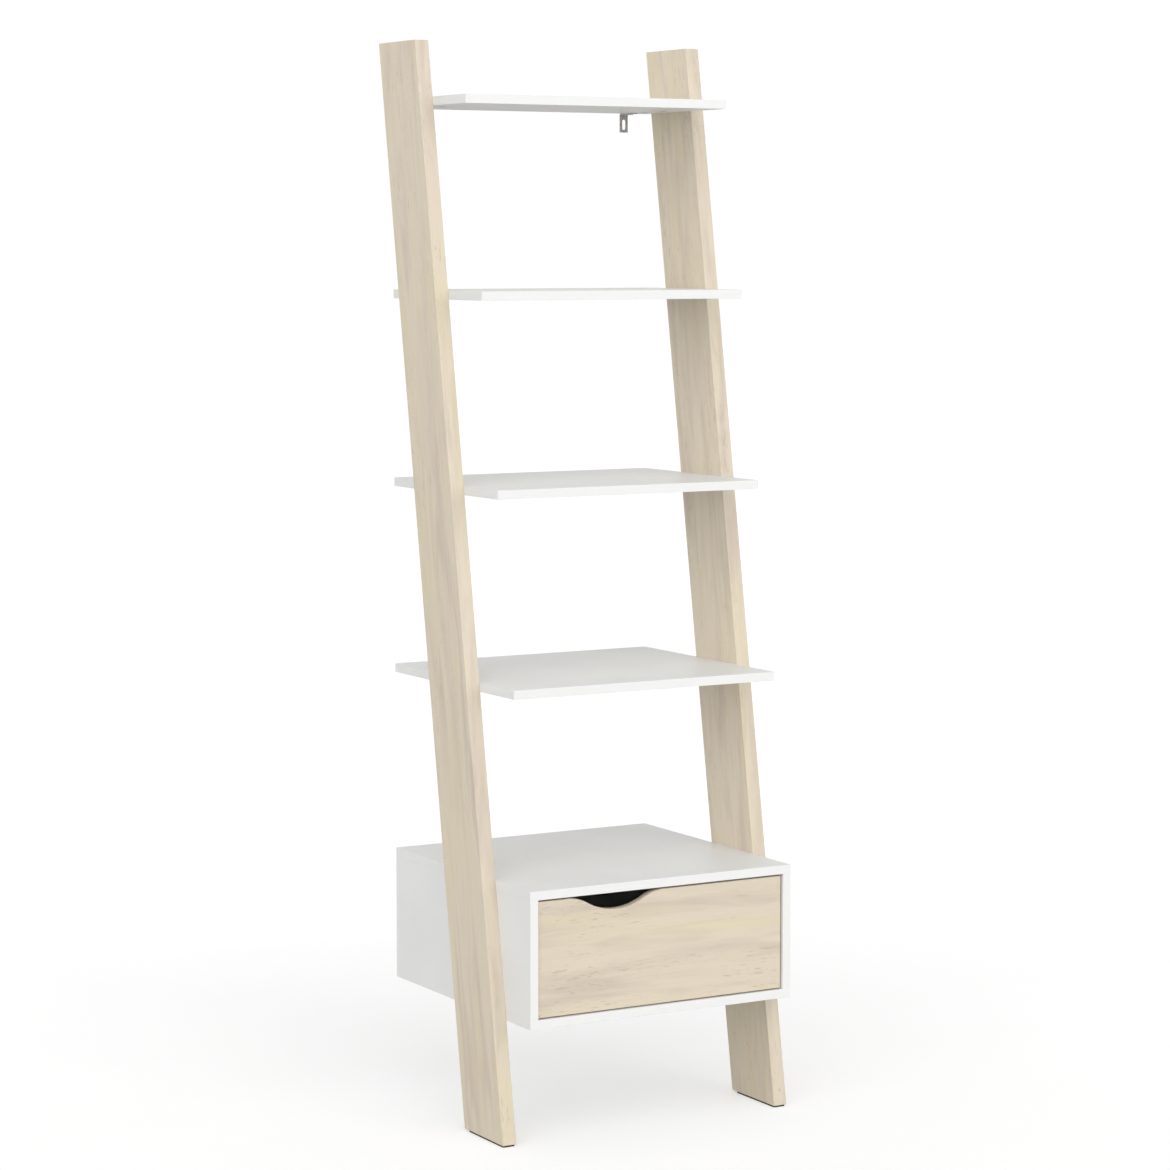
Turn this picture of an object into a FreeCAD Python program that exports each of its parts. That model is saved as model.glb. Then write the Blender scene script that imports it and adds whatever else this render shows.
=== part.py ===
import FreeCAD, Part
import math
import os

# Ladder shelf. Two leaning side rails carry four open shelves that get deeper towards the
# floor, and a low cabinet with one drawer. The back edges all lie in the plane of the wall.
# Millimetres. X runs across, -Y is the front, +Z is up. The origin is on the floor, in the
# middle of the width and of the depth.

# Carcass
overall_height = 1800.0
inner_width = 500.0
board = 15.0
shelf_pitch = 320.0
cabinet_top_level = 427.0
cabinet_height = 226.0
shelf_count = 4
top_shelf_depth = 265.0
depth_step = 53.0
cabinet_depth = top_shelf_depth + shelf_count * depth_step

# Side rails: level cuts at both ends, and a steady lean back towards the wall
rail_thickness = 25.0
rail_depth = 133.0
rail_lean = 0.165

# Foot glides under the rails
glide_height = 3.0
glide_side_inset = 1.5
glide_front_inset = 2.0
glide_back_inset = 12.0
glide_corner = 3.0
glide_peg_radius = 3.0
glide_peg_length = 8.0
glide_peg_spread = 80.0

# Clearances: round a pin or a screw's shank, round a screw where it only passes through, at
# the closed end of a hole, and between a panel's edge and the floor of its groove
pin_clearance = 0.05
passing_clearance = 0.2
hole_end_room = 0.5
groove_room = 0.5

# Cam fittings and dowels
cam_spread = 32.0
cam_clearance = 0.2
cam_drive_length = 1.2
cam_drive_width = 0.22
cam_drive_depth = 1.5
bolt_collar_length = 1.5
bolt_hole_clearance = 0.5
dowel_radius = 4.0
dowel_in_board = 20.0
dowel_in_face = 10.0
dowel_chamfer = 1.0
cabinet_cam_offset = 180.0
cabinet_dowel_offset = 120.0

# Cabinet back panel, held in a groove
back_panel_inset = 10.0
panel_thickness = 3.0
panel_play = 0.1
cabinet_groove_depth = 6.0

# Drawer
drawer_recess = 4.5
drawer_side_gap = 2.5
drawer_top_gap = 3.5
drawer_bottom_gap = 2.0
drawer_side_thickness = 12.0
drawer_side_height = 130.0
drawer_box_depth = 420.0
drawer_bottom_level = 225.0
drawer_groove_height = 10.0
drawer_groove_depth = 5.0
drawer_cam_heights = (25.0, 105.0)
drawer_dowel_height = 65.0
drawer_dowel_radius = 3.0
drawer_screw_heights = (35.0, 100.0)

# Finger scoop in the top edge of the drawer front: a wide hollow arc between two rounded
# shoulders that run tangent into the straight edge
scoop_center = -86.0
scoop_width = 184.0
scoop_depth = 25.0
scoop_bottom_radius = 107.0

# Roller runners
runner_space = 12.5
runner_length = 400.0
runner_setback = 2.0
channel_wall = 1.0
channel_bottom_level = 220.0
channel_height = 22.0
channel_width = 10.5
slide_wall = 1.2
slide_top_level = 239.8
slide_flange_width = 8.8
slide_flange_length = 376.5
stop_height = 5.0
stop_thickness = 1.0
stop_setback = 0.5
stop_gap = 0.5
drawer_travel = 300.0

# Rollers and their rivets
roller_radius = 8.5
roller_width = 6.0
roller_gap = 0.3
roller_chamfer = 0.5
roller_end_distance = 12.0
roller_hole_radius = 1.2
roller_hole_circle = 5.4
roller_hole_count = 5
axle_radius = 2.5
rivet_hole_radius = 2.0
rivet_tail_radius = 1.95
rivet_collar_radius = 3.8
rivet_head_radius = 4.0
rivet_head_length = 1.0
front_collar_length = 1.1
rear_collar_length = 0.5

# Screws: head radius, head height, shank radius, and length from under a raised head or
# from the top of a flush one
rail_screw = (4.0, 2.0, 2.0, 33.0)
drawer_back_screw = (3.6, 2.4, 1.75, 35.0)
channel_screw = (3.2, 1.2, 1.75, 13.0)
slide_screw = (2.8, 1.1, 1.5, 10.2)
bracket_screw = (3.4, 1.8, 1.75, 12.5)

# Screw heads: the rounding and the drive's depth as shares of the head's height, and the
# width of the drive's arms as a share of the head's radius
head_rounding = 0.45
drive_depth = 0.6
drive_width = 0.2

# Where the screws sit
rail_screw_levels = (290.0, 385.0)
channel_screw_depths = (-170.0, 0.0, 150.0)
slide_screw_depths = (-150.0, 100.0)

# Wall brackets under the back of the top shelf
bracket_center = 204.0
bracket_width = 16.0
bracket_sheet = 1.5
bracket_drop = 33.0
bracket_reach = 35.0
bracket_bend = 1.5
bracket_slot_width = 6.5
bracket_slot_length = 18.0
bracket_slot_bottom = 4.5
bracket_screw_depths = (12.0, 26.0)

# Derived positions
half_inner = inner_width / 2
wall_y = cabinet_depth / 2
front_y = -cabinet_depth / 2
cabinet_bottom_level = cabinet_top_level - cabinet_height
opening_half = half_inner - board
opening_bottom = cabinet_bottom_level + board
opening_top = cabinet_top_level - board
drawer_front_y = front_y + drawer_recess
drawer_box_front = drawer_front_y + board
drawer_box_back = drawer_box_front + drawer_box_depth
drawer_half = opening_half - runner_space
drawer_inner_half = drawer_half - drawer_side_thickness
drawer_back_face = drawer_box_back - drawer_side_thickness
runner_front = drawer_box_front + runner_setback
runner_back = runner_front + runner_length
channel_floor = channel_bottom_level + channel_wall
roller_level = channel_floor + roller_gap + roller_radius
front_roller_y = runner_front + roller_end_distance
rear_roller_y = runner_back - roller_end_distance
front_roller_near = opening_half - channel_wall - front_collar_length - roller_gap - roller_width
rear_roller_near = drawer_half + slide_wall + rear_collar_length + roller_gap

RIGHT = FreeCAD.Vector(1, 0, 0)
BACK = FreeCAD.Vector(0, 1, 0)
FRONT = FreeCAD.Vector(0, -1, 0)
UP = FreeCAD.Vector(0, 0, 1)
DOWN = FreeCAD.Vector(0, 0, -1)
SIDES = (-1, 1)


def point(x, y, z):
    return FreeCAD.Vector(x, y, z)


def outward(side):
    return FreeCAD.Vector(side, 0, 0)


def box(x_ends, y_ends, z_ends):
    """A box between two limits on each axis, given in either order."""
    low = point(min(x_ends), min(y_ends), min(z_ends))
    size = point(max(x_ends), max(y_ends), max(z_ends)) - low
    return Part.makeBox(size.x, size.y, size.z, low)


def rod(start, direction, radius, length):
    return Part.makeCylinder(radius, length, start, direction)


def joined(shapes):
    return shapes[0].fuse(shapes[1:]).removeSplitter()


def placed(shape, origin, x_direction, z_direction):
    """Move a shape made at the origin so that its X and Z axes lie along two directions."""
    turn = FreeCAD.Rotation(x_direction, z_direction.cross(x_direction), z_direction, "ZXY")
    moved = shape.copy()
    moved.Placement = FreeCAD.Placement(origin, turn)
    return moved


def cross_recess(length, width, depth):
    """Cutting shape for a cross drive, with its mouth at Z = 0 and its floor above."""
    across = box((-length / 2, length / 2), (-width / 2, width / 2), (-depth, depth))
    along = box((-width / 2, width / 2), (-length / 2, length / 2), (-depth, depth))
    return joined([across, along])


class CamFitting:
    """A cam lock in a board's face, and the bolt that it pulls in through the board's end.

    A place is (face point, direction into the board, direction towards the board's end).
    The cam, thread and head are each a radius and a length. The setback is the distance
    from the cam to the board's end, and the level is the bolt's depth below the face."""

    def __init__(self, setback, level, cam, hollow, thread, pin, head):
        self.setback = setback
        self.level = level
        self.cam_radius, self.cam_height = cam
        self.hollow_radius = hollow
        self.thread_radius, self.thread_length = thread
        self.pin_radius = pin
        self.head_radius, self.head_length = head

    def end_point(self, place):
        face_point, into, toward = place
        return face_point + into * self.level + toward * self.setback

    def lock(self, place):
        face_point, into, toward = place
        body = Part.makeCylinder(self.cam_radius, self.cam_height)
        hollow_start = point(-self.hollow_radius, 0, self.level)
        hollow = rod(hollow_start, RIGHT, self.hollow_radius, 2 * self.cam_radius)
        drive_length = self.cam_radius * cam_drive_length
        drive = cross_recess(drive_length, self.cam_radius * cam_drive_width, cam_drive_depth)
        return placed(body.cut([hollow, drive]), face_point, toward, into)

    def lock_holes(self, place):
        face_point, into, toward = place
        cam_hole_radius = self.cam_radius + cam_clearance
        cam_hole = rod(face_point, into, cam_hole_radius, self.cam_height + cam_clearance)
        bolt_start = face_point + into * self.level
        bolt_hole_radius = self.head_radius + bolt_hole_clearance
        bolt_hole = rod(bolt_start, toward, bolt_hole_radius, self.setback + hole_end_room)
        return [cam_hole, bolt_hole]

    def bolt(self, place):
        pin_length = self.setback - self.head_length / 2
        thread = rod(point(0, 0, 0), RIGHT, self.thread_radius, self.thread_length)
        pin = rod(point(-pin_length, 0, 0), RIGHT, self.pin_radius, pin_length)
        collar_start = point(-bolt_collar_length, 0, 0)
        collar = rod(collar_start, RIGHT, self.head_radius, bolt_collar_length)
        head_start = point(-pin_length - self.head_length, 0, 0)
        head = rod(head_start, RIGHT, self.head_radius, self.head_length)
        whole = joined([thread, pin, collar, head])
        return placed(whole, self.end_point(place), place[2], place[1])

    def thread_hole(self, place):
        radius = self.thread_radius + pin_clearance
        return rod(self.end_point(place), place[2], radius, self.thread_length + hole_end_room)


shelf_fitting = CamFitting(
    setback=34.0,
    level=board / 2,
    cam=(7.3, 12.0),
    hollow=3.8,
    thread=(2.45, 11.0),
    pin=2.8,
    head=(3.5, 4.0),
)
drawer_fitting = CamFitting(
    setback=24.0,
    level=drawer_side_thickness / 2,
    cam=(5.8, 9.4),
    hollow=2.7,
    thread=(2.2, 10.0),
    pin=1.9,
    head=(2.4, 3.0),
)


def dowel(place, radius, in_board, in_face):
    """A place is (point where the two boards meet, direction into the board's face)."""
    meeting, direction = place
    start = meeting - direction * in_board
    body = rod(start, direction, radius - pin_clearance, in_board + in_face)
    rims = [edge for edge in body.Edges if edge.Closed and edge.Length > 2 * radius]
    return body.makeChamfer(dowel_chamfer, rims)


def dowel_hole(place, radius, in_board, in_face):
    meeting, direction = place
    start = meeting - direction * (in_board + hole_end_room)
    return rod(start, direction, radius, in_board + in_face + 2 * hole_end_room)


def pan_screw(head_point, direction, sizes):
    """A screw with a raised head, whose underside is at the head point."""
    head_radius, head_height, shank_radius, length = sizes
    head = rod(point(0, 0, -head_height), UP, head_radius, head_height)
    rims = [edge for edge in head.Edges if edge.Closed]
    top_rim = [edge for edge in rims if edge.BoundBox.ZMax < -head_height / 2]
    head = head.makeFillet(head_height * head_rounding, top_rim)
    shank = rod(point(0, 0, 0), UP, shank_radius, length)
    drive = cross_recess(head_radius, head_radius * drive_width, head_height * drive_depth)
    drive.translate(point(0, 0, -head_height))
    whole = joined([head, shank]).cut(drive)
    return placed(whole, head_point, side_axis(direction), direction)


def flush_screw(head_point, direction, sizes):
    """A countersunk screw whose head's top is level with the face at the head point."""
    head_radius, head_height, shank_radius, length = sizes
    head = Part.makeCone(head_radius, shank_radius, head_height)
    shank = rod(point(0, 0, 0), UP, shank_radius, length)
    drive = cross_recess(head_radius, head_radius * drive_width, head_height * drive_depth)
    whole = joined([head, shank]).cut(drive)
    return placed(whole, head_point, side_axis(direction), direction)


def pilot_hole(head_point, direction, sizes):
    """The hole that a screw's shank bites into, counted from under its head."""
    head_radius, head_height, shank_radius, length = sizes
    return rod(head_point, direction, shank_radius + pin_clearance, length + hole_end_room)


def passing_hole(head_point, direction, sizes, depth):
    """A hole that a screw's shank passes through freely."""
    head_radius, head_height, shank_radius, length = sizes
    return rod(head_point, direction, shank_radius + passing_clearance, depth)


def flush_screw_holes(head_point, direction, sizes):
    head_radius, head_height, shank_radius, length = sizes
    sink = Part.makeCone(head_radius + pin_clearance, shank_radius + pin_clearance, head_height)
    sink = placed(sink, head_point, side_axis(direction), direction)
    return [sink, pilot_hole(head_point, direction, sizes)]


def side_axis(direction):
    """Any direction at a right angle to the one given, which lies along X, Y or Z."""
    return RIGHT if abs(direction.x) < 0.5 else UP


# Where things meet

def shelf_level(index):
    """Top of a shelf, counted from the top shelf down."""
    return cabinet_top_level + (shelf_count - index) * shelf_pitch


def shelf_depth(index):
    return top_shelf_depth + index * depth_step


def rail_back(z):
    return wall_y - rail_lean * (overall_height - z)


def rail_middle(z):
    return rail_back(z) - rail_depth / 2


def shelf_cam_places(index, side):
    underside = shelf_level(index) - board
    middle = rail_middle(underside + board / 2)
    places = []
    for offset in (-cam_spread, cam_spread):
        face_point = point(side * (half_inner - shelf_fitting.setback), middle + offset, underside)
        places.append((face_point, UP, outward(side)))
    return places


def shelf_dowel_place(index, side):
    level = shelf_level(index) - board / 2
    return (point(side * half_inner, rail_middle(level), level), outward(side))


def cabinet_cam_places(side, toward):
    end_level = opening_top if toward.z > 0 else opening_bottom
    places = []
    for y in (-cabinet_cam_offset, cabinet_cam_offset):
        face_point = point(side * opening_half, y, end_level) - toward * shelf_fitting.setback
        places.append((face_point, outward(side), toward))
    return places


def cabinet_dowel_places(side, toward):
    end_level = opening_top if toward.z > 0 else opening_bottom
    places = []
    for y in (-cabinet_dowel_offset, cabinet_dowel_offset):
        places.append((point(side * (half_inner - board / 2), y, end_level), toward))
    return places


def rail_screw_places(side):
    x = side * opening_half
    return [(point(x, rail_middle(z), z), outward(side)) for z in rail_screw_levels]


def drawer_cam_places(side):
    places = []
    for height in drawer_cam_heights:
        y = drawer_box_front + drawer_fitting.setback
        face_point = point(side * drawer_inner_half, y, drawer_bottom_level + height)
        places.append((face_point, outward(side), FRONT))
    return places


def drawer_dowel_place(side):
    x = side * (drawer_half - drawer_side_thickness / 2)
    return (point(x, drawer_box_front, drawer_bottom_level + drawer_dowel_height), FRONT)


def drawer_back_screw_places(side):
    y = drawer_box_back - drawer_side_thickness / 2
    places = []
    for height in drawer_screw_heights:
        places.append((point(side * drawer_half, y, drawer_bottom_level + height), outward(-side)))
    return places


def channel_screw_places(side):
    x = side * (opening_half - channel_wall)
    z = channel_bottom_level + channel_height / 2
    return [(point(x, y, z), outward(side)) for y in channel_screw_depths]


def slide_screw_places(side):
    x = side * (drawer_half - drawer_side_thickness / 2)
    z = drawer_bottom_level - slide_wall
    return [(point(x, y, z), UP) for y in slide_screw_depths]


def bracket_screw_places(side):
    z = shelf_level(0) - board - bracket_sheet
    return [(point(side * bracket_center, wall_y - y, z), UP) for y in bracket_screw_depths]


def glide_peg_points(side):
    x = side * (half_inner + rail_thickness / 2)
    middle = rail_middle(glide_height)
    depths = (middle - glide_peg_spread / 2, middle + glide_peg_spread / 2)
    return [point(x, y, glide_height) for y in depths]


# Rails, glides and shelves

def side_rail(side):
    top_back = rail_back(overall_height)
    foot_back = rail_back(glide_height)
    x = side * half_inner
    outline = Part.makePolygon([
        point(x, top_back, overall_height),
        point(x, top_back - rail_depth, overall_height),
        point(x, foot_back - rail_depth, glide_height),
        point(x, foot_back, glide_height),
        point(x, top_back, overall_height),
    ])
    rail = Part.Face(outline).extrude(outward(side) * rail_thickness)
    cuts = []
    for index in range(shelf_count):
        cuts += [shelf_fitting.thread_hole(place) for place in shelf_cam_places(index, side)]
        place = shelf_dowel_place(index, side)
        cuts.append(dowel_hole(place, dowel_radius, dowel_in_board, dowel_in_face))
    for head_point, direction in rail_screw_places(side):
        cuts.append(pilot_hole(head_point, direction, rail_screw))
    for peg_point in glide_peg_points(side):
        cuts.append(rod(peg_point, UP, glide_peg_radius, glide_peg_length + hole_end_room))
    return rail.cut(cuts)


def foot_glide(side):
    """A thin pad under the rail's foot, with two pegs that push up into the rail."""
    foot_back = rail_back(glide_height)
    near = side * (half_inner + glide_side_inset)
    far = side * (half_inner + rail_thickness - glide_side_inset)
    depth_ends = (foot_back - rail_depth + glide_front_inset, foot_back - glide_back_inset)
    pad = box((near, far), depth_ends, (0, glide_height))
    corners = [edge for edge in pad.Edges if edge.BoundBox.ZLength > glide_height / 2]
    pad = pad.makeFillet(glide_corner, corners)
    pegs = []
    for peg_point in glide_peg_points(side):
        peg = rod(peg_point + DOWN, UP, glide_peg_radius - pin_clearance, glide_peg_length + 1)
        pegs.append(peg)
    return joined([pad] + pegs)


def shelf(index):
    level = shelf_level(index)
    depth_ends = (wall_y - shelf_depth(index), wall_y)
    panel = box((-half_inner, half_inner), depth_ends, (level - board, level))
    cuts = []
    for side in SIDES:
        for place in shelf_cam_places(index, side):
            cuts += shelf_fitting.lock_holes(place)
        place = shelf_dowel_place(index, side)
        cuts.append(dowel_hole(place, dowel_radius, dowel_in_board, dowel_in_face))
        if index == 0:
            for head_point, direction in bracket_screw_places(side):
                cuts.append(pilot_hole(head_point, direction, bracket_screw))
    return panel.cut(cuts)


# Cabinet

def groove_depth_ends():
    back = wall_y - back_panel_inset
    return (back - panel_thickness - 2 * panel_play, back)


def cabinet_plate(toward):
    """The top or the bottom board. Both run the full width over the ends of the sides."""
    inner = opening_top if toward.z > 0 else opening_bottom
    plate = box((-half_inner, half_inner), (front_y, wall_y), (inner, inner + toward.z * board))
    reach = opening_half + cabinet_groove_depth
    groove_levels = (inner, inner + toward.z * cabinet_groove_depth)
    cuts = [box((-reach, reach), groove_depth_ends(), groove_levels)]
    for side in SIDES:
        cuts += [shelf_fitting.thread_hole(place) for place in cabinet_cam_places(side, toward)]
        for place in cabinet_dowel_places(side, toward):
            cuts.append(dowel_hole(place, dowel_radius, dowel_in_board, dowel_in_face))
    return plate.cut(cuts)


def cabinet_side(side):
    width_ends = (side * opening_half, side * half_inner)
    panel = box(width_ends, (front_y, wall_y), (opening_bottom, opening_top))
    groove_ends = (side * opening_half, side * (opening_half + cabinet_groove_depth))
    cuts = [box(groove_ends, groove_depth_ends(), (opening_bottom, opening_top))]
    for toward in (UP, DOWN):
        for place in cabinet_cam_places(side, toward):
            cuts += shelf_fitting.lock_holes(place)
        for place in cabinet_dowel_places(side, toward):
            cuts.append(dowel_hole(place, dowel_radius, dowel_in_board, dowel_in_face))
    for head_point, direction in rail_screw_places(side):
        cuts.append(passing_hole(head_point, direction, rail_screw, board))
    for head_point, direction in channel_screw_places(side):
        cuts.append(pilot_hole(head_point, direction, channel_screw))
    return panel.cut(cuts)


def cabinet_back():
    margin = cabinet_groove_depth - groove_room
    reach = opening_half + margin
    groove_front, groove_back = groove_depth_ends()
    depth_ends = (groove_front + panel_play, groove_back - panel_play)
    return box((-reach, reach), depth_ends, (opening_bottom - margin, opening_top + margin))


# Drawer

def scoop_cutter(top_level):
    """The finger scoop's outline, cut through the drawer front from face to face."""
    half = scoop_width / 2
    turn = 2 * math.atan(scoop_depth / half)
    radius_sum = half / math.sin(turn)
    shoulder_radius = radius_sum - scoop_bottom_radius
    floor_level = top_level - scoop_depth
    join_x = scoop_bottom_radius * math.sin(turn)
    join_z = floor_level + scoop_bottom_radius * (1 - math.cos(turn))
    half_turn_x = shoulder_radius * math.sin(turn / 2)
    half_turn_z = shoulder_radius * (1 - math.cos(turn / 2))
    y = drawer_front_y - 1

    def at(offset, z):
        return point(scoop_center + offset, y, z)

    left_shoulder = Part.Arc(
        at(-half, top_level),
        at(-half + half_turn_x, top_level - half_turn_z),
        at(-join_x, join_z),
    )
    hollow = Part.Arc(at(-join_x, join_z), at(0, floor_level), at(join_x, join_z))
    right_shoulder = Part.Arc(
        at(join_x, join_z),
        at(half - half_turn_x, top_level - half_turn_z),
        at(half, top_level),
    )
    edges = [arc.toShape() for arc in (left_shoulder, hollow, right_shoulder)]
    edges.append(Part.makeLine(at(half, top_level), at(half, top_level + 1)))
    edges.append(Part.makeLine(at(half, top_level + 1), at(-half, top_level + 1)))
    edges.append(Part.makeLine(at(-half, top_level + 1), at(-half, top_level)))
    return Part.Face(Part.Wire(edges)).extrude(BACK * (board + 2))


def drawer_groove_levels():
    low = drawer_bottom_level + drawer_groove_height
    return (low, low + panel_thickness + 2 * panel_play)


def drawer_front():
    top_level = opening_top - drawer_top_gap
    width_ends = (-opening_half + drawer_side_gap, opening_half - drawer_side_gap)
    height_ends = (opening_bottom + drawer_bottom_gap, top_level)
    panel = box(width_ends, (drawer_front_y, drawer_box_front), height_ends)
    reach = drawer_inner_half + drawer_groove_depth
    groove_ends = (drawer_box_front - drawer_groove_depth, drawer_box_front)
    groove = box((-reach, reach), groove_ends, drawer_groove_levels())
    cuts = [scoop_cutter(top_level), groove]
    for side in SIDES:
        cuts += [drawer_fitting.thread_hole(place) for place in drawer_cam_places(side)]
        place = drawer_dowel_place(side)
        cuts.append(dowel_hole(place, drawer_dowel_radius, dowel_in_board, dowel_in_face))
    return panel.cut(cuts)


def drawer_side(side):
    height_ends = (drawer_bottom_level, drawer_bottom_level + drawer_side_height)
    width_ends = (side * drawer_inner_half, side * drawer_half)
    panel = box(width_ends, (drawer_box_front, drawer_box_back), height_ends)
    groove_width = (side * drawer_inner_half, side * (drawer_inner_half + drawer_groove_depth))
    groove_length = (drawer_box_front, drawer_back_face + drawer_groove_depth)
    cuts = [box(groove_width, groove_length, drawer_groove_levels())]
    for place in drawer_cam_places(side):
        cuts += drawer_fitting.lock_holes(place)
    place = drawer_dowel_place(side)
    cuts.append(dowel_hole(place, drawer_dowel_radius, dowel_in_board, dowel_in_face))
    for head_point, direction in drawer_back_screw_places(side):
        cuts += flush_screw_holes(head_point, direction, drawer_back_screw)
    for head_point, direction in slide_screw_places(side):
        cuts.append(pilot_hole(head_point, direction, slide_screw))
    return panel.cut(cuts)


def drawer_back():
    height_ends = (drawer_bottom_level, drawer_bottom_level + drawer_side_height)
    width_ends = (-drawer_inner_half, drawer_inner_half)
    panel = box(width_ends, (drawer_back_face, drawer_box_back), height_ends)
    groove_ends = (drawer_back_face, drawer_back_face + drawer_groove_depth)
    cuts = [box(width_ends, groove_ends, drawer_groove_levels())]
    for side in SIDES:
        for head_point, direction in drawer_back_screw_places(side):
            cuts.append(pilot_hole(head_point, direction, drawer_back_screw))
    return panel.cut(cuts)


def drawer_bottom():
    margin = drawer_groove_depth - groove_room
    reach = drawer_inner_half + margin
    low, high = drawer_groove_levels()
    depth_ends = (drawer_box_front - margin, drawer_back_face + margin)
    return box((-reach, reach), depth_ends, (low + panel_play, high - panel_play))


# Runners

def channel_stop(side, face_y, toward):
    """A lip that stands up from the channel's floor and stops the roller."""
    free_edge = opening_half - channel_width + stop_setback
    width_ends = (side * free_edge, side * (opening_half - channel_wall))
    depth_ends = (face_y, face_y + toward * stop_thickness)
    return box(width_ends, depth_ends, (channel_floor, channel_floor + stop_height))


def cabinet_runner(side):
    """The fixed member: a channel on the cabinet's side, open towards the drawer."""
    wall_x = side * opening_half
    web_ends = (wall_x, side * (opening_half - channel_wall))
    flange_ends = (wall_x, side * (opening_half - channel_width))
    length_ends = (runner_front, runner_back)
    top = channel_bottom_level + channel_height
    web = box(web_ends, length_ends, (channel_bottom_level, top))
    floor = box(flange_ends, length_ends, (channel_bottom_level, channel_floor))
    roof = box(flange_ends, length_ends, (top - channel_wall, top))
    stop_drop = roller_level - channel_floor - stop_height
    stop_reach = math.sqrt(roller_radius ** 2 - stop_drop ** 2) + stop_gap
    open_stop = channel_stop(side, rear_roller_y - drawer_travel - stop_reach, -1)
    closed_stop = channel_stop(side, rear_roller_y + stop_reach, 1)
    body = joined([web, floor, roof, open_stop, closed_stop])
    rivet_start = point(wall_x, front_roller_y, roller_level)
    cuts = [rod(rivet_start, outward(-side), rivet_hole_radius, channel_wall)]
    for head_point, direction in channel_screw_places(side):
        cuts.append(passing_hole(head_point, direction, channel_screw, channel_wall))
    return body.cut(cuts)


def drawer_runner(side):
    """The moving member: under the drawer's side, up its face and out over the rollers."""
    length_ends = (runner_front, runner_back)
    web_ends = (side * drawer_half, side * (drawer_half + slide_wall))
    web_bottom = drawer_bottom_level - slide_wall
    web = box(web_ends, length_ends, (web_bottom, slide_top_level))
    seat_ends = (side * drawer_inner_half, side * (drawer_half + slide_wall))
    seat = box(seat_ends, length_ends, (web_bottom, drawer_bottom_level))
    track_ends = (side * drawer_half, side * (drawer_half + slide_wall + slide_flange_width))
    track_length = (runner_front, runner_front + slide_flange_length)
    track = box(track_ends, track_length, (slide_top_level - slide_wall, slide_top_level))
    body = joined([web, seat, track])
    rivet_start = point(side * drawer_half, rear_roller_y, roller_level)
    cuts = [rod(rivet_start, outward(side), rivet_hole_radius, slide_wall)]
    for head_point, direction in slide_screw_places(side):
        cuts.append(passing_hole(head_point, direction, slide_screw, slide_wall))
    return body.cut(cuts)


def roller(near_x, y, side):
    """A nylon wheel between near_x and near_x plus its width, both counted outward."""
    start = point(side * near_x, y, roller_level)
    wheel = rod(start, outward(side), roller_radius, roller_width)
    rims = [edge for edge in wheel.Edges if edge.Closed and edge.Length > 2 * roller_radius]
    wheel = wheel.makeChamfer(roller_chamfer, rims)
    cuts = [rod(start, outward(side), axle_radius + pin_clearance, roller_width)]
    for number in range(roller_hole_count):
        angle = 2 * math.pi * number / roller_hole_count
        offset = point(0, math.cos(angle), math.sin(angle)) * roller_hole_circle
        cuts.append(rod(start + offset, outward(side), roller_hole_radius, roller_width))
    return wheel.cut(cuts)


def rivet(start, direction, tail_length, collar_length):
    """An axle rivet: tail in the sheet, collar, bearing length for one roller, and head."""
    bearing_length = roller_width + 2 * roller_gap
    collar_start = start + direction * tail_length
    bearing_start = collar_start + direction * collar_length
    head_start = bearing_start + direction * bearing_length
    tail = rod(start, direction, rivet_tail_radius, tail_length)
    collar = rod(collar_start, direction, rivet_collar_radius, collar_length)
    bearing = rod(bearing_start, direction, axle_radius, bearing_length)
    head = rod(head_start, direction, rivet_head_radius, rivet_head_length)
    return joined([tail, collar, bearing, head])


def front_rivet(side):
    start = point(side * opening_half, front_roller_y, roller_level)
    return rivet(start, outward(-side), channel_wall, front_collar_length)


def rear_rivet(side):
    start = point(side * drawer_half, rear_roller_y, roller_level)
    return rivet(start, outward(side), slide_wall, rear_collar_length)


# Wall brackets

def wall_bracket(side):
    """A bent strip: one leg is screwed to the top shelf, one has a slot for the wall screw."""
    top = shelf_level(0) - board
    outer = bracket_bend + bracket_sheet
    x = side * bracket_center - bracket_width / 2
    front = wall_y - bracket_reach
    inner_y = wall_y - bracket_sheet
    middle = math.sqrt(0.5)
    center_y = wall_y - outer
    center_z = top - outer
    outer_arc = Part.Arc(
        point(x, center_y, top),
        point(x, center_y + outer * middle, center_z + outer * middle),
        point(x, wall_y, center_z),
    )
    inner_arc = Part.Arc(
        point(x, inner_y, center_z),
        point(x, center_y + bracket_bend * middle, center_z + bracket_bend * middle),
        point(x, center_y, top - bracket_sheet),
    )
    edges = [
        Part.makeLine(point(x, front, top), point(x, center_y, top)),
        outer_arc.toShape(),
        Part.makeLine(point(x, wall_y, center_z), point(x, wall_y, top - bracket_drop)),
        Part.makeLine(point(x, wall_y, top - bracket_drop), point(x, inner_y, top - bracket_drop)),
        Part.makeLine(point(x, inner_y, top - bracket_drop), point(x, inner_y, center_z)),
        inner_arc.toShape(),
        Part.makeLine(point(x, center_y, top - bracket_sheet), point(x, front, top - bracket_sheet)),
        Part.makeLine(point(x, front, top - bracket_sheet), point(x, front, top)),
    ]
    strip = Part.Face(Part.Wire(edges)).extrude(RIGHT * bracket_width)
    cuts = [bracket_slot(side)]
    for head_point, direction in bracket_screw_places(side):
        cuts.append(passing_hole(head_point, direction, bracket_screw, bracket_sheet))
    return strip.cut(cuts)


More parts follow.
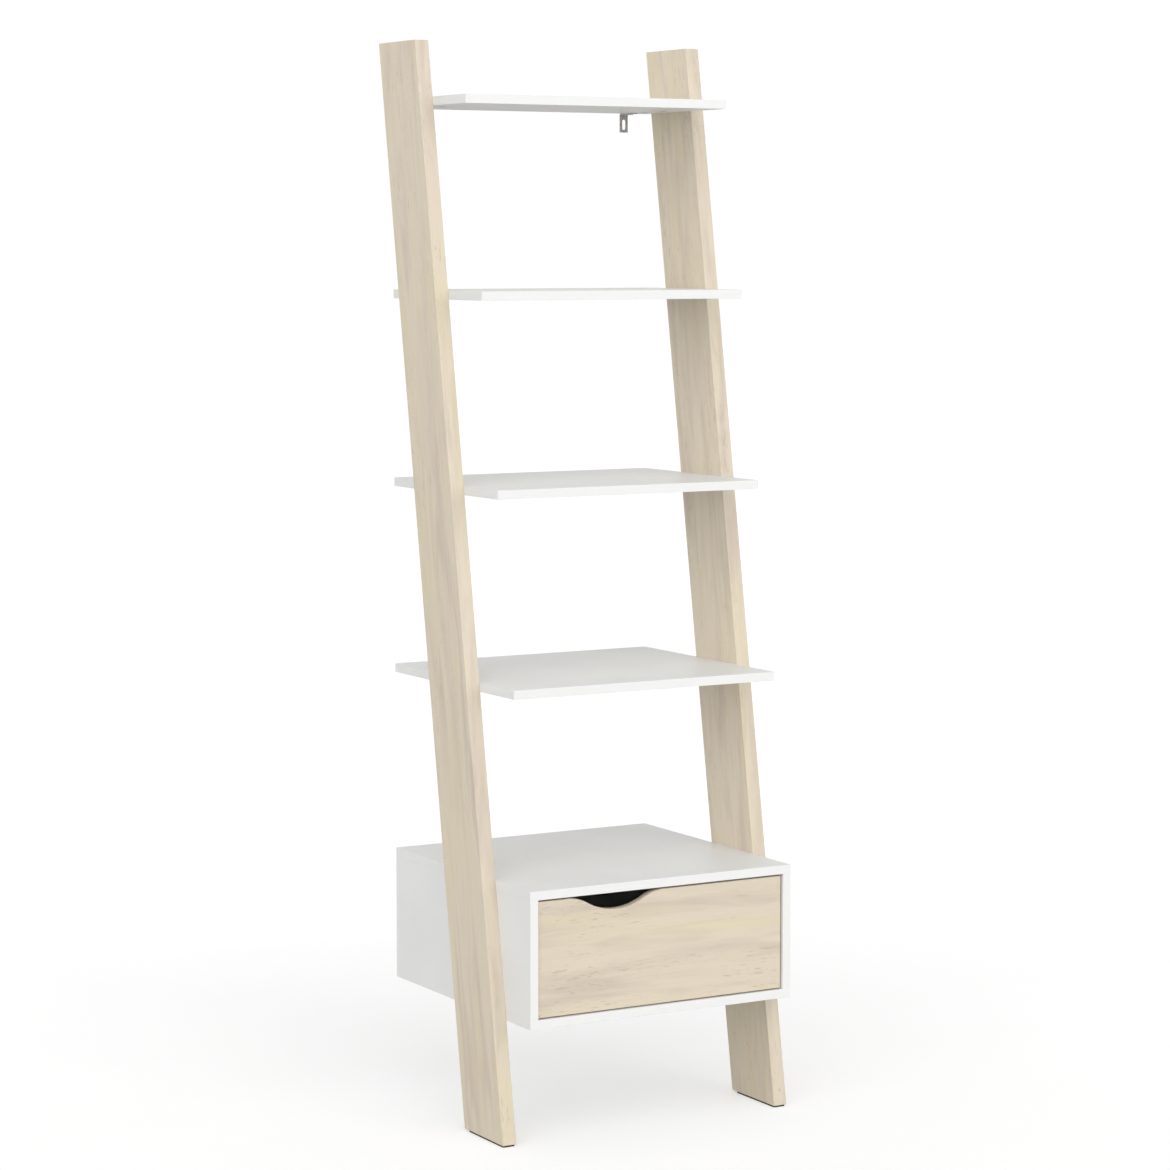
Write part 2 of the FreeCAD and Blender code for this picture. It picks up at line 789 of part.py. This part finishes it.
def bracket_slot(side):
    radius = bracket_slot_width / 2
    low = shelf_level(0) - board - bracket_drop + bracket_slot_bottom + radius
    high = low + bracket_slot_length - bracket_slot_width
    x = side * bracket_center
    start_y = wall_y - bracket_sheet - 1
    through = bracket_sheet + 2
    lower_end = rod(point(x, start_y, low), BACK, radius, through)
    upper_end = rod(point(x, start_y, high), BACK, radius, through)
    middle = box((x - radius, x + radius), (start_y, start_y + through), (low, high))
    return joined([lower_end, upper_end, middle])


# Groups of identical fasteners

def shelf_places():
    places = []
    for index in range(shelf_count):
        for side in SIDES:
            places += shelf_cam_places(index, side)
    return places


def cabinet_places(places_at_corner):
    places = []
    for side in SIDES:
        for toward in (UP, DOWN):
            places += places_at_corner(side, toward)
    return places


def drawer_places():
    return drawer_cam_places(-1) + drawer_cam_places(1)


def shelf_dowels():
    places = [shelf_dowel_place(index, side) for index in range(shelf_count) for side in SIDES]
    return [dowel(place, dowel_radius, dowel_in_board, dowel_in_face) for place in places]


def cabinet_dowels():
    places = cabinet_places(cabinet_dowel_places)
    return [dowel(place, dowel_radius, dowel_in_board, dowel_in_face) for place in places]


def drawer_dowels():
    places = [drawer_dowel_place(side) for side in SIDES]
    return [dowel(place, drawer_dowel_radius, dowel_in_board, dowel_in_face) for place in places]


def pan_screws(places_on_side, sizes):
    return [pan_screw(*place, sizes) for side in SIDES for place in places_on_side(side)]


def flush_screws(places_on_side, sizes):
    return [flush_screw(*place, sizes) for side in SIDES for place in places_on_side(side)]


def write(name, solids):
    shape = solids[0] if len(solids) == 1 else Part.makeCompound(solids)
    shape.exportStep("parts/" + name + ".step")


os.makedirs("parts", exist_ok=True)

for side, side_name in ((-1, "left"), (1, "right")):
    write(side_name + "_rail", [side_rail(side)])
    write(side_name + "_foot_glide", [foot_glide(side)])
    write("cabinet_" + side_name + "_side", [cabinet_side(side)])
    write("drawer_" + side_name + "_side", [drawer_side(side)])
    write(side_name + "_cabinet_runner", [cabinet_runner(side)])
    write(side_name + "_drawer_runner", [drawer_runner(side)])
    write(side_name + "_front_roller", [roller(front_roller_near, front_roller_y, side)])
    write(side_name + "_rear_roller", [roller(rear_roller_near, rear_roller_y, side)])
    write(side_name + "_wall_bracket", [wall_bracket(side)])

for index, shelf_name in enumerate(("top_shelf", "second_shelf", "third_shelf", "fourth_shelf")):
    write(shelf_name, [shelf(index)])

write("cabinet_top", [cabinet_plate(UP)])
write("cabinet_bottom", [cabinet_plate(DOWN)])
write("cabinet_back", [cabinet_back()])
write("drawer_front", [drawer_front()])
write("drawer_back", [drawer_back()])
write("drawer_bottom", [drawer_bottom()])

write("shelf_cam_locks", [shelf_fitting.lock(place) for place in shelf_places()])
write("shelf_cam_bolts", [shelf_fitting.bolt(place) for place in shelf_places()])
write("shelf_dowels", shelf_dowels())
corner_places = cabinet_places(cabinet_cam_places)
write("cabinet_cam_locks", [shelf_fitting.lock(place) for place in corner_places])
write("cabinet_cam_bolts", [shelf_fitting.bolt(place) for place in corner_places])
write("cabinet_dowels", cabinet_dowels())
write("drawer_cam_locks", [drawer_fitting.lock(place) for place in drawer_places()])
write("drawer_cam_bolts", [drawer_fitting.bolt(place) for place in drawer_places()])
write("drawer_dowels", drawer_dowels())

write("rail_screws", pan_screws(rail_screw_places, rail_screw))
write("cabinet_runner_screws", pan_screws(channel_screw_places, channel_screw))
write("drawer_runner_screws", pan_screws(slide_screw_places, slide_screw))
write("bracket_screws", pan_screws(bracket_screw_places, bracket_screw))
write("drawer_back_screws", flush_screws(drawer_back_screw_places, drawer_back_screw))
write("front_roller_axles", [front_rivet(side) for side in SIDES])
write("rear_roller_axles", [rear_rivet(side) for side in SIDES])
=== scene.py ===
import math

import bpy
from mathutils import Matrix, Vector

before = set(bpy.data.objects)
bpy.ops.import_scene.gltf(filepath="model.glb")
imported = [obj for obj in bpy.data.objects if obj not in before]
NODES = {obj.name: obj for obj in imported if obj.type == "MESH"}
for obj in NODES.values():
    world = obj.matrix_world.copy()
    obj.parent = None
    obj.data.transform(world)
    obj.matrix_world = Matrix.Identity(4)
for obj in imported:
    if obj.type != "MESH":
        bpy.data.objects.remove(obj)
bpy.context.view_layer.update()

# The ladder shelf's looks. Every CAD node keeps its shape and gets a node material, and the
# boards get eased edges. Metres. X runs across, -Y is the front, +Z is up.

# How far the rails lean back for each unit of their height
RAIL_LEAN = 0.165

# Roundings of the oak and white boards' edges, and how near two points are to count as one
OAK_EDGE = 0.0006
WHITE_EDGE = 0.0004
EDGE_SEGMENTS = 2
SHARP_ANGLE = 40.0
SAME_POINT = 0.000001

# Oak foil: tones, then what the grain lines and pores multiply them by
OAK_PINK = (0.660, 0.566, 0.460)
OAK_CREAM = (0.752, 0.664, 0.531)
OAK_YELLOW = (0.748, 0.660, 0.484)
LINE_DARK = (0.935, 0.915, 0.895)
LINE_LIGHT = (1.035, 1.035, 1.03)
LINE_COUNT = 74.0
FIBRE_STRENGTH = 0.30
PORE_BROWN = (0.66, 0.57, 0.49)
PORE_STRENGTH = 0.55
PORE_DEPTH = -0.7

# White boards: the painted highlight on the faces looking to the front, and how much darker the
# faint clouds are
FRONT_PAINTED_HIGHLIGHT = (0.90, 0.90, 0.89)
CLOUD_SHADE = 0.965

NO_TURN = (0.0, 0.0, 0.0)


# Surface groups -------------------------------------------------------------------------

RAILS = ["left_rail", "right_rail"]
SHELVES = ["top_shelf", "second_shelf", "third_shelf", "fourth_shelf"]
CABINET = ["cabinet_top", "cabinet_bottom", "cabinet_left_side", "cabinet_right_side"]
DRAWER_BOARDS = ["drawer_left_side", "drawer_right_side", "drawer_back"]
GLIDES = ["left_foot_glide", "right_foot_glide"]
BRACKETS = ["left_wall_bracket", "right_wall_bracket"]
RUNNERS = [
    "left_cabinet_runner",
    "right_cabinet_runner",
    "left_drawer_runner",
    "right_drawer_runner",
]
ROLLERS = [
    "left_front_roller",
    "right_front_roller",
    "left_rear_roller",
    "right_rear_roller",
]
CAM_LOCKS = ["shelf_cam_locks", "cabinet_cam_locks", "drawer_cam_locks"]
STEEL_FASTENERS = [
    "shelf_cam_bolts",
    "cabinet_cam_bolts",
    "drawer_cam_bolts",
    "rail_screws",
    "bracket_screws",
    "cabinet_runner_screws",
    "drawer_runner_screws",
    "drawer_back_screws",
    "front_roller_axles",
    "rear_roller_axles",
]
DOWELS = ["shelf_dowels", "cabinet_dowels", "drawer_dowels"]


# Node material helpers ------------------------------------------------------------------

def colour_of(value):
    """A colour with its alpha, from a colour or a single grey level."""
    if isinstance(value, (int, float)):
        value = (value, value, value)
    return (*value[:3], 1.0)


class Surface:
    """A material under construction, with short calls for the nodes used here."""

    def __init__(self, name):
        self.material = bpy.data.materials.new(name)
        self.material.use_nodes = True
        self.tree = self.material.node_tree
        self.shader = self.tree.nodes["Principled BSDF"]
        self.place = self.tree.nodes.new("ShaderNodeTexCoord").outputs["Object"]

    def link(self, source, target):
        self.tree.links.new(source, target)

    def feed(self, socket, value):
        """Link a socket to another node's output, or set it to a plain value."""
        if isinstance(value, bpy.types.NodeSocket):
            self.link(value, socket)
        else:
            socket.default_value = value

    def mapped(self, scale, turn=NO_TURN, shift=NO_TURN):
        """The object's own coordinates, turned first, then stretched and shifted."""
        turned = self.tree.nodes.new("ShaderNodeMapping")
        turned.inputs["Rotation"].default_value = turn
        self.link(self.place, turned.inputs["Vector"])
        node = self.tree.nodes.new("ShaderNodeMapping")
        node.inputs["Location"].default_value = shift
        node.inputs["Scale"].default_value = scale
        self.link(turned.outputs["Vector"], node.inputs["Vector"])
        return node.outputs["Vector"]

    def facing(self, axis):
        """How much the surface faces along one of the object's own axes."""
        normal = self.tree.nodes.new("ShaderNodeTexCoord").outputs["Normal"]
        split = self.tree.nodes.new("ShaderNodeSeparateXYZ")
        self.link(normal, split.inputs["Vector"])
        return split.outputs[axis]

    def noise(self, vector, detail=4.0, roughness=0.5, distortion=0.0):
        node = self.tree.nodes.new("ShaderNodeTexNoise")
        self.link(vector, node.inputs["Vector"])
        node.inputs["Scale"].default_value = 1.0
        node.inputs["Detail"].default_value = detail
        node.inputs["Roughness"].default_value = roughness
        node.inputs["Distortion"].default_value = distortion
        return node.outputs["Fac"]

    def speckle(self, density, **options):
        """Noise of the same density in every direction."""
        return self.noise(self.mapped((density, density, density)), **options)

    def cells(self, density):
        node = self.tree.nodes.new("ShaderNodeTexVoronoi")
        self.link(self.mapped((density, density, density)), node.inputs["Vector"])
        node.inputs["Scale"].default_value = 1.0
        return node.outputs["Distance"]

    def ramp(self, value, *stops):
        """stops are (position, colour) pairs; a colour may be a single grey level."""
        node = self.tree.nodes.new("ShaderNodeValToRGB")
        self.link(value, node.inputs["Fac"])
        band = node.color_ramp
        while len(band.elements) < len(stops):
            band.elements.new(0.5)
        for element, (position, colour) in zip(band.elements, stops):
            element.position = position
            element.color = colour_of(colour)
        return node.outputs["Color"]

    def math(self, operation, first, second=0.0, third=0.0):
        node = self.tree.nodes.new("ShaderNodeMath")
        node.operation = operation
        for socket, value in zip(node.inputs, (first, second, third)):
            self.feed(socket, value)
        return node.outputs["Value"]

    def blend(self, mode, factor, first, second):
        node = self.tree.nodes.new("ShaderNodeMix")
        node.data_type = "RGBA"
        node.blend_type = mode
        self.feed(node.inputs["Factor"], factor)
        sockets = [socket for socket in node.inputs if socket.type == "RGBA"]
        for socket, value in zip(sockets, (first, second)):
            is_linked = isinstance(value, bpy.types.NodeSocket)
            self.feed(socket, value if is_linked else colour_of(value))
        return [socket for socket in node.outputs if socket.type == "RGBA"][0]

    def scaled(self, value, low, high):
        """Spread a value between 0 and 1 over low to high."""
        return self.math("MULTIPLY_ADD", value, high - low, low)

    def bump(self, height, distance, strength):
        node = self.tree.nodes.new("ShaderNodeBump")
        self.link(height, node.inputs["Height"])
        node.inputs["Distance"].default_value = distance
        node.inputs["Strength"].default_value = strength
        return node.outputs["Normal"]

    def finish(self, colour, roughness, normal=None, metallic=0.0):
        self.feed(self.shader.inputs["Base Color"], colour)
        self.feed(self.shader.inputs["Roughness"], roughness)
        self.shader.inputs["Metallic"].default_value = metallic
        if normal is not None:
            self.link(normal, self.shader.inputs["Normal"])
        return self.material


# Materials ------------------------------------------------------------------------------

def along_z(along, across):
    return (across, across, along)


def along_x(along, across):
    return (along, across, across)


def oak(name, stretch, patch, turn=NO_TURN, shift=NO_TURN, lightness=1.0, wander=1.0):
    """Pale washed oak foil. stretch(along, across) gives the mapping scale for one layer,
    patch is the size of the tone patches as such a pair, and wander is how far the grain
    strays from straight."""
    s = Surface(name)

    def layer(along, across, **options):
        return s.noise(s.mapped(stretch(along, across), turn, shift), **options)

    def shade(channels):
        return tuple(channel * lightness for channel in channels)

    # Broad tone: cream, with pinker and yellower patches that follow the grain
    along, across = patch
    tone = layer(along, across, roughness=0.52, distortion=0.6 * wander)
    tint = layer(along * 0.6, across * 0.7, detail=3.0, distortion=0.9 * wander)
    pink = shade(OAK_PINK)
    cream = shade(OAK_CREAM)
    colour = s.ramp(tone, (0.36, pink), (0.54, cream), (0.66, cream), (0.80, pink))
    yellowing = s.ramp(tint, (0.46, 0.0), (0.64, 0.85))
    colour = s.blend("MIX", yellowing, colour, shade(OAK_YELLOW))

    # Figure: the wavy contour lines of a stretched field, as on a plain-sawn board
    field = layer(1.5 * wander, 13.0, detail=3.0, roughness=0.45, distortion=0.35 * wander)
    waves = s.math("SINE", s.math("MULTIPLY", field, LINE_COUNT))
    lines = s.math("MULTIPLY_ADD", waves, 0.5, 0.5)
    strength = s.ramp(layer(5.0, 24.0, detail=3.0), (0.42, 0.08), (0.64, 0.58))
    figure = s.ramp(lines, (0.0, LINE_DARK), (0.45, 1.0), (1.0, LINE_LIGHT))
    colour = s.blend("MULTIPLY", strength, colour, figure)

    # Fibre and pores: fine streaks, and short darker ticks in loose groups
    fibre = layer(11.0, 560.0, detail=3.0, roughness=0.6)
    streaks = s.ramp(fibre, (0.30, 0.90), (0.55, 1.0), (0.75, 1.04))
    colour = s.blend("MULTIPLY", FIBRE_STRENGTH, colour, streaks)
    pores = layer(42.0, 340.0, detail=3.0, roughness=0.55, distortion=1.2 * wander)
    groups = layer(6.0, 20.0, detail=2.0, distortion=0.5)
    tick = s.math(
        "MULTIPLY",
        s.ramp(pores, (0.59, 0.0), (0.68, 1.0)),
        s.ramp(groups, (0.48, 0.0), (0.60, 1.0)),
    )
    colour = s.blend("MULTIPLY", s.math("MULTIPLY", tick, PORE_STRENGTH), colour, PORE_BROWN)

    relief = s.math("MULTIPLY_ADD", tick, PORE_DEPTH, fibre)
    return s.finish(colour, s.scaled(fibre, 0.42, 0.56), s.bump(relief, 0.00012, 0.6))


def white_board(name, base, rough):
    """White melamine or foil: a faint pebbled skin with slight clouding, and a painted
    highlight that brightens the faces looking to the front, standing in for the front light."""
    s = Surface(name)
    clouds = s.speckle(7.0, detail=3.0)
    pebble = s.speckle(1400.0, detail=2.0)
    handling = s.speckle(38.0, detail=5.0, roughness=0.65)
    darker = tuple(channel * CLOUD_SHADE for channel in base)
    colour = s.ramp(clouds, (0.35, darker), (0.62, base))
    # Painted highlight: faces that look to the front get a brighter white, standing in for the
    # front light
    front_highlight_mask = s.math("LESS_THAN", s.facing("Y"), -0.7)
    colour = s.blend("MIX", front_highlight_mask, colour, FRONT_PAINTED_HIGHLIGHT)
    return s.finish(colour, s.scaled(handling, *rough), s.bump(pebble, 0.00003, 0.5))


def hardboard(name):
    """White lacquer on the face inside, bare brown fibre on the face behind."""
    s = Surface(name)
    specks = s.speckle(900.0, roughness=0.7)
    fibres = s.speckle(160.0, detail=6.0, roughness=0.7, distortion=1.5)
    weave = s.cells(700.0)
    white = s.ramp(specks, (0.3, (0.72, 0.72, 0.70)), (0.7, (0.78, 0.78, 0.765)))
    brown = s.ramp(
        fibres,
        (0.30, (0.16, 0.10, 0.06)),
        (0.52, (0.24, 0.155, 0.095)),
        (0.72, (0.32, 0.215, 0.135)),
    )
    behind = s.math("GREATER_THAN", s.facing("Y"), 0.5)
    colour = s.blend("MIX", behind, white, brown)
    roughness = s.math("MULTIPLY_ADD", behind, 0.30, s.scaled(specks, 0.42, 0.55))
    relief = s.math("MULTIPLY", weave, behind)
    return s.finish(colour, roughness, s.bump(relief, 0.0002, 0.7))


def drawer_bottom_board(name):
    """White lacquered hardboard with fine specks."""
    s = Surface(name)
    specks = s.speckle(900.0, roughness=0.7)
    colour = s.ramp(specks, (0.3, (0.66, 0.66, 0.645)), (0.7, (0.72, 0.72, 0.705)))
    return s.finish(colour, s.scaled(specks, 0.42, 0.55), s.bump(specks, 0.00005, 0.5))


def coated_steel(name):
    """White powder coat with its slight orange peel."""
    s = Surface(name)
    peel = s.speckle(520.0, detail=2.0)
    clouds = s.speckle(30.0, detail=3.0)
    colour = s.ramp(clouds, (0.3, (0.70, 0.70, 0.69)), (0.7, (0.76, 0.76, 0.75)))
    return s.finish(colour, s.scaled(peel, 0.26, 0.40), s.bump(peel, 0.00008, 0.5))


def zinc(name, tint, rough, grain):
    """Zinc, plated or cast: streaks as dense as grain says on each axis, and a blotchy
    passivated sheen."""
    s = Surface(name)
    streaks = s.noise(s.mapped(grain), detail=3.0, roughness=0.6)
    blotches = s.speckle(140.0, roughness=0.6)
    dull = tuple(channel * 0.80 for channel in tint)
    warm = (tint[0] * 1.02, tint[1] * 0.99, tint[2] * 0.93)
    colour = s.ramp(blotches, (0.32, dull), (0.50, tint), (0.70, warm))
    patchy = s.math("MULTIPLY", streaks, s.math("ADD", blotches, 0.5))
    normal = s.bump(streaks, 0.00004, 0.5)
    return s.finish(colour, s.scaled(patchy, *rough), normal, metallic=1.0)


def nylon(name):
    """Natural nylon, a little translucent."""
    s = Surface(name)
    grain = s.speckle(1500.0, detail=2.0)
    clouds = s.speckle(90.0, detail=3.0)
    colour = s.ramp(clouds, (0.3, (0.70, 0.69, 0.64)), (0.7, (0.78, 0.77, 0.73)))
    s.shader.inputs["Subsurface Weight"].default_value = 0.08
    s.shader.inputs["Subsurface Radius"].default_value = (0.002, 0.002, 0.0015)
    return s.finish(colour, s.scaled(grain, 0.34, 0.48), s.bump(grain, 0.00003, 0.5))


def dark_plastic(name):
    """Moulded dark plastic with a fine spark-eroded grain and scuffs from the floor."""
    s = Surface(name)
    grain = s.speckle(1100.0, detail=2.0)
    scuffs = s.noise(s.mapped((260.0, 40.0, 260.0)), detail=5.0, roughness=0.7)
    colour = s.ramp(scuffs, (0.35, (0.020, 0.018, 0.016)), (0.75, (0.050, 0.046, 0.042)))
    return s.finish(colour, s.scaled(grain, 0.48, 0.68), s.bump(grain, 0.00006, 0.6))


def beech(name):
    """Plain beech, with its grain and short flecks along X, as in the shelves' dowels."""
    s = Surface(name)
    grain = s.noise(s.mapped((60.0, 900.0, 900.0)))
    flecks = s.noise(s.mapped((300.0, 2600.0, 2600.0)), detail=2.0)
    colour = s.ramp(grain, (0.32, (0.47, 0.31, 0.17)), (0.68, (0.60, 0.42, 0.25)))
    amount = s.ramp(flecks, (0.6, 0.0), (0.7, 0.5))
    colour = s.blend("MULTIPLY", amount, colour, (0.62, 0.48, 0.36))
    return s.finish(colour, s.scaled(grain, 0.52, 0.66), s.bump(grain, 0.0001, 0.5))


def wear(node, material):
    """Give a CAD node its material, in its own slots."""
    obj = NODES[node]
    if not obj.material_slots:
        obj.data.materials.append(material)
    for slot in obj.material_slots:
        slot.link = "OBJECT"
        slot.material = material


def soften(node, width):
    """Round a CAD node's sharp edges a little, as a real edge is. Its faces come as separate
    patches, so they are joined first."""
    weld = NODES[node].modifiers.new("joined_faces", "WELD")
    weld.merge_threshold = SAME_POINT
    bevel = NODES[node].modifiers.new("eased_edges", "BEVEL")
    bevel.width = width
    bevel.segments = EDGE_SEGMENTS
    bevel.limit_method = "ANGLE"
    bevel.angle_limit = math.radians(SHARP_ANGLE)
    bevel.use_clamp_overlap = False
    bevel.harden_normals = True
    bevel.miter_outer = "MITER_ARC"


rail_oak = oak("rail_oak_foil", along_z, (3.4, 32.0), turn=(math.atan(RAIL_LEAN), 0.0, 0.0))
front_oak = oak(
    "drawer_oak_foil",
    along_x,
    (3.6, 34.0),
    shift=(3.7, 1.3, 5.2),
    lightness=1.01,
    wander=0.5,
)
melamine = white_board("white_melamine", base=(0.855, 0.855, 0.84), rough=(0.34, 0.46))
drawer_white = white_board("drawer_white_foil", base=(0.74, 0.74, 0.72), rough=(0.42, 0.55))
bracket_zinc = zinc(
    "bracket_zinc_plate",
    tint=(0.56, 0.57, 0.59),
    rough=(0.28, 0.46),
    grain=(900.0, 900.0, 60.0),
)
fastener_zinc = zinc(
    "fastener_zinc_plate",
    tint=(0.56, 0.57, 0.59),
    rough=(0.28, 0.46),
    grain=(700.0, 700.0, 700.0),
)
cast_zinc = zinc(
    "die_cast_zinc",
    tint=(0.42, 0.42, 0.43),
    rough=(0.44, 0.62),
    grain=(500.0, 500.0, 500.0),
)

GROUPS = [
    (RAILS, rail_oak),
    (["drawer_front"], front_oak),
    (SHELVES + CABINET, melamine),
    (DRAWER_BOARDS, drawer_white),
    (["cabinet_back"], hardboard("back_hardboard")),
    (["drawer_bottom"], drawer_bottom_board("bottom_hardboard")),
    (RUNNERS, coated_steel("white_powder_coat")),
    (ROLLERS, nylon("natural_nylon")),
    (GLIDES, dark_plastic("dark_glide_plastic")),
    (BRACKETS, bracket_zinc),
    (STEEL_FASTENERS, fastener_zinc),
    (CAM_LOCKS, cast_zinc),
    (DOWELS, beech("beech_dowel")),
]
for names, material in GROUPS:
    for node in names:
        wear(node, material)

for node in RAILS + ["drawer_front"]:
    soften(node, OAK_EDGE)
for node in SHELVES + CABINET + DRAWER_BOARDS:
    soften(node, WHITE_EDGE)


# Stage, light and camera ----------------------------------------------------------------

def floor_material(near, far, painted_shadow_span=(0.5, 2.75)):
    """Pale paper. Seen directly it is brightened to near white by a painted glow that only the
    camera sees, and it lights the object less than it shows. The glow grows from near to far
    over the span's two distances from the middle of the object, so the floor round it is
    darker: a painted shadow."""
    s = Surface("studio_floor")
    rays = s.tree.nodes.new("ShaderNodeLightPath")
    distance = s.tree.nodes.new("ShaderNodeVectorMath")
    distance.operation = "LENGTH"
    s.link(s.place, distance.inputs[0])
    ramp_span = 5.0
    share = s.math("MULTIPLY", distance.outputs["Value"], 1.0 / ramp_span)
    # Painted glow for camera rays, weaker near the object than far from it: a painted shadow on
    # the floor round the object
    painted_glow = s.ramp(share, (painted_shadow_span[0] / ramp_span, near), (painted_shadow_span[1] / ramp_span, far))
    strength = s.math("MULTIPLY", rays.outputs["Is Camera Ray"], painted_glow)
    s.feed(s.shader.inputs["Emission Strength"], strength)
    s.shader.inputs["Emission Color"].default_value = colour_of(1.0)
    s.shader.inputs["Specular IOR Level"].default_value = 0.0
    mottle = s.speckle(3.0, detail=2.0)
    return s.finish(s.ramp(mottle, (0.3, 0.655), (0.7, 0.665)), 0.9)


def add_floor(half_size=40.0):
    mesh = bpy.data.meshes.new("studio_floor")
    corners = [
        (-half_size, -half_size, 0),
        (half_size, -half_size, 0),
        (half_size, half_size, 0),
        (-half_size, half_size, 0),
    ]
    mesh.from_pydata(corners, [], [(0, 1, 2, 3)])
    floor = bpy.data.objects.new("studio_floor", mesh)
    floor.data.materials.append(floor_material(near=0.43, far=0.50))
    bpy.context.scene.collection.objects.link(floor)


def add_world(stops):
    """Plain white studio air. stops are (height, level) pairs from the horizon upwards."""
    world = bpy.data.worlds.new("studio_air")
    bpy.context.scene.world = world
    world.use_nodes = True
    tree = world.node_tree
    place = tree.nodes.new("ShaderNodeTexCoord")
    split = tree.nodes.new("ShaderNodeSeparateXYZ")
    tree.links.new(place.outputs["Generated"], split.inputs["Vector"])
    band = tree.nodes.new("ShaderNodeValToRGB")
    tree.links.new(split.outputs["Z"], band.inputs["Fac"])
    while len(band.color_ramp.elements) < len(stops):
        band.color_ramp.elements.new(0.5)
    for element, (height, level) in zip(band.color_ramp.elements, stops):
        element.position = height
        element.color = colour_of(level)
    tree.links.new(band.outputs["Color"], tree.nodes["Background"].inputs["Color"])
    tree.nodes["Background"].inputs["Strength"].default_value = 1.0


def add_front_light(direction, strength, spread):
    """One large distant source. direction is where its light goes, and spread is in degrees."""
    light = bpy.data.lights.new("front_light", "SUN")
    light.energy = strength
    light.angle = math.radians(spread)
    lamp = bpy.data.objects.new("front_light", light)
    lamp.rotation_mode = "QUATERNION"
    lamp.rotation_quaternion = Vector(direction).to_track_quat("-Z", "Y")
    bpy.context.scene.collection.objects.link(lamp)


def add_camera(place, yaw, pitch, lens, shift):
    """yaw turns from +Y towards +X, pitch looks down; both in degrees."""
    camera = bpy.data.cameras.new("studio_camera")
    camera.lens = lens
    camera.sensor_width = 36.0
    camera.shift_y = shift
    camera.clip_end = 200.0
    body = bpy.data.objects.new("studio_camera", camera)
    body.location = place
    body.rotation_euler = (math.radians(90.0 - pitch), 0.0, math.radians(-yaw))
    bpy.context.scene.collection.objects.link(body)
    bpy.context.scene.camera = body


add_floor()
add_world(stops=((0.08, 1.02), (0.30, 0.78), (0.90, 0.50)))
# In front and to the left, a little above
add_front_light(direction=(0.28, 0.60, -0.15), strength=2.08, spread=110.0)
add_camera(
    place=(-2.8813, -4.9862, 1.4600),
    yaw=29.925,
    pitch=5.261,
    lens=105.385,
    shift=-0.02,
)
bpy.context.scene.view_settings.view_transform = "Standard"
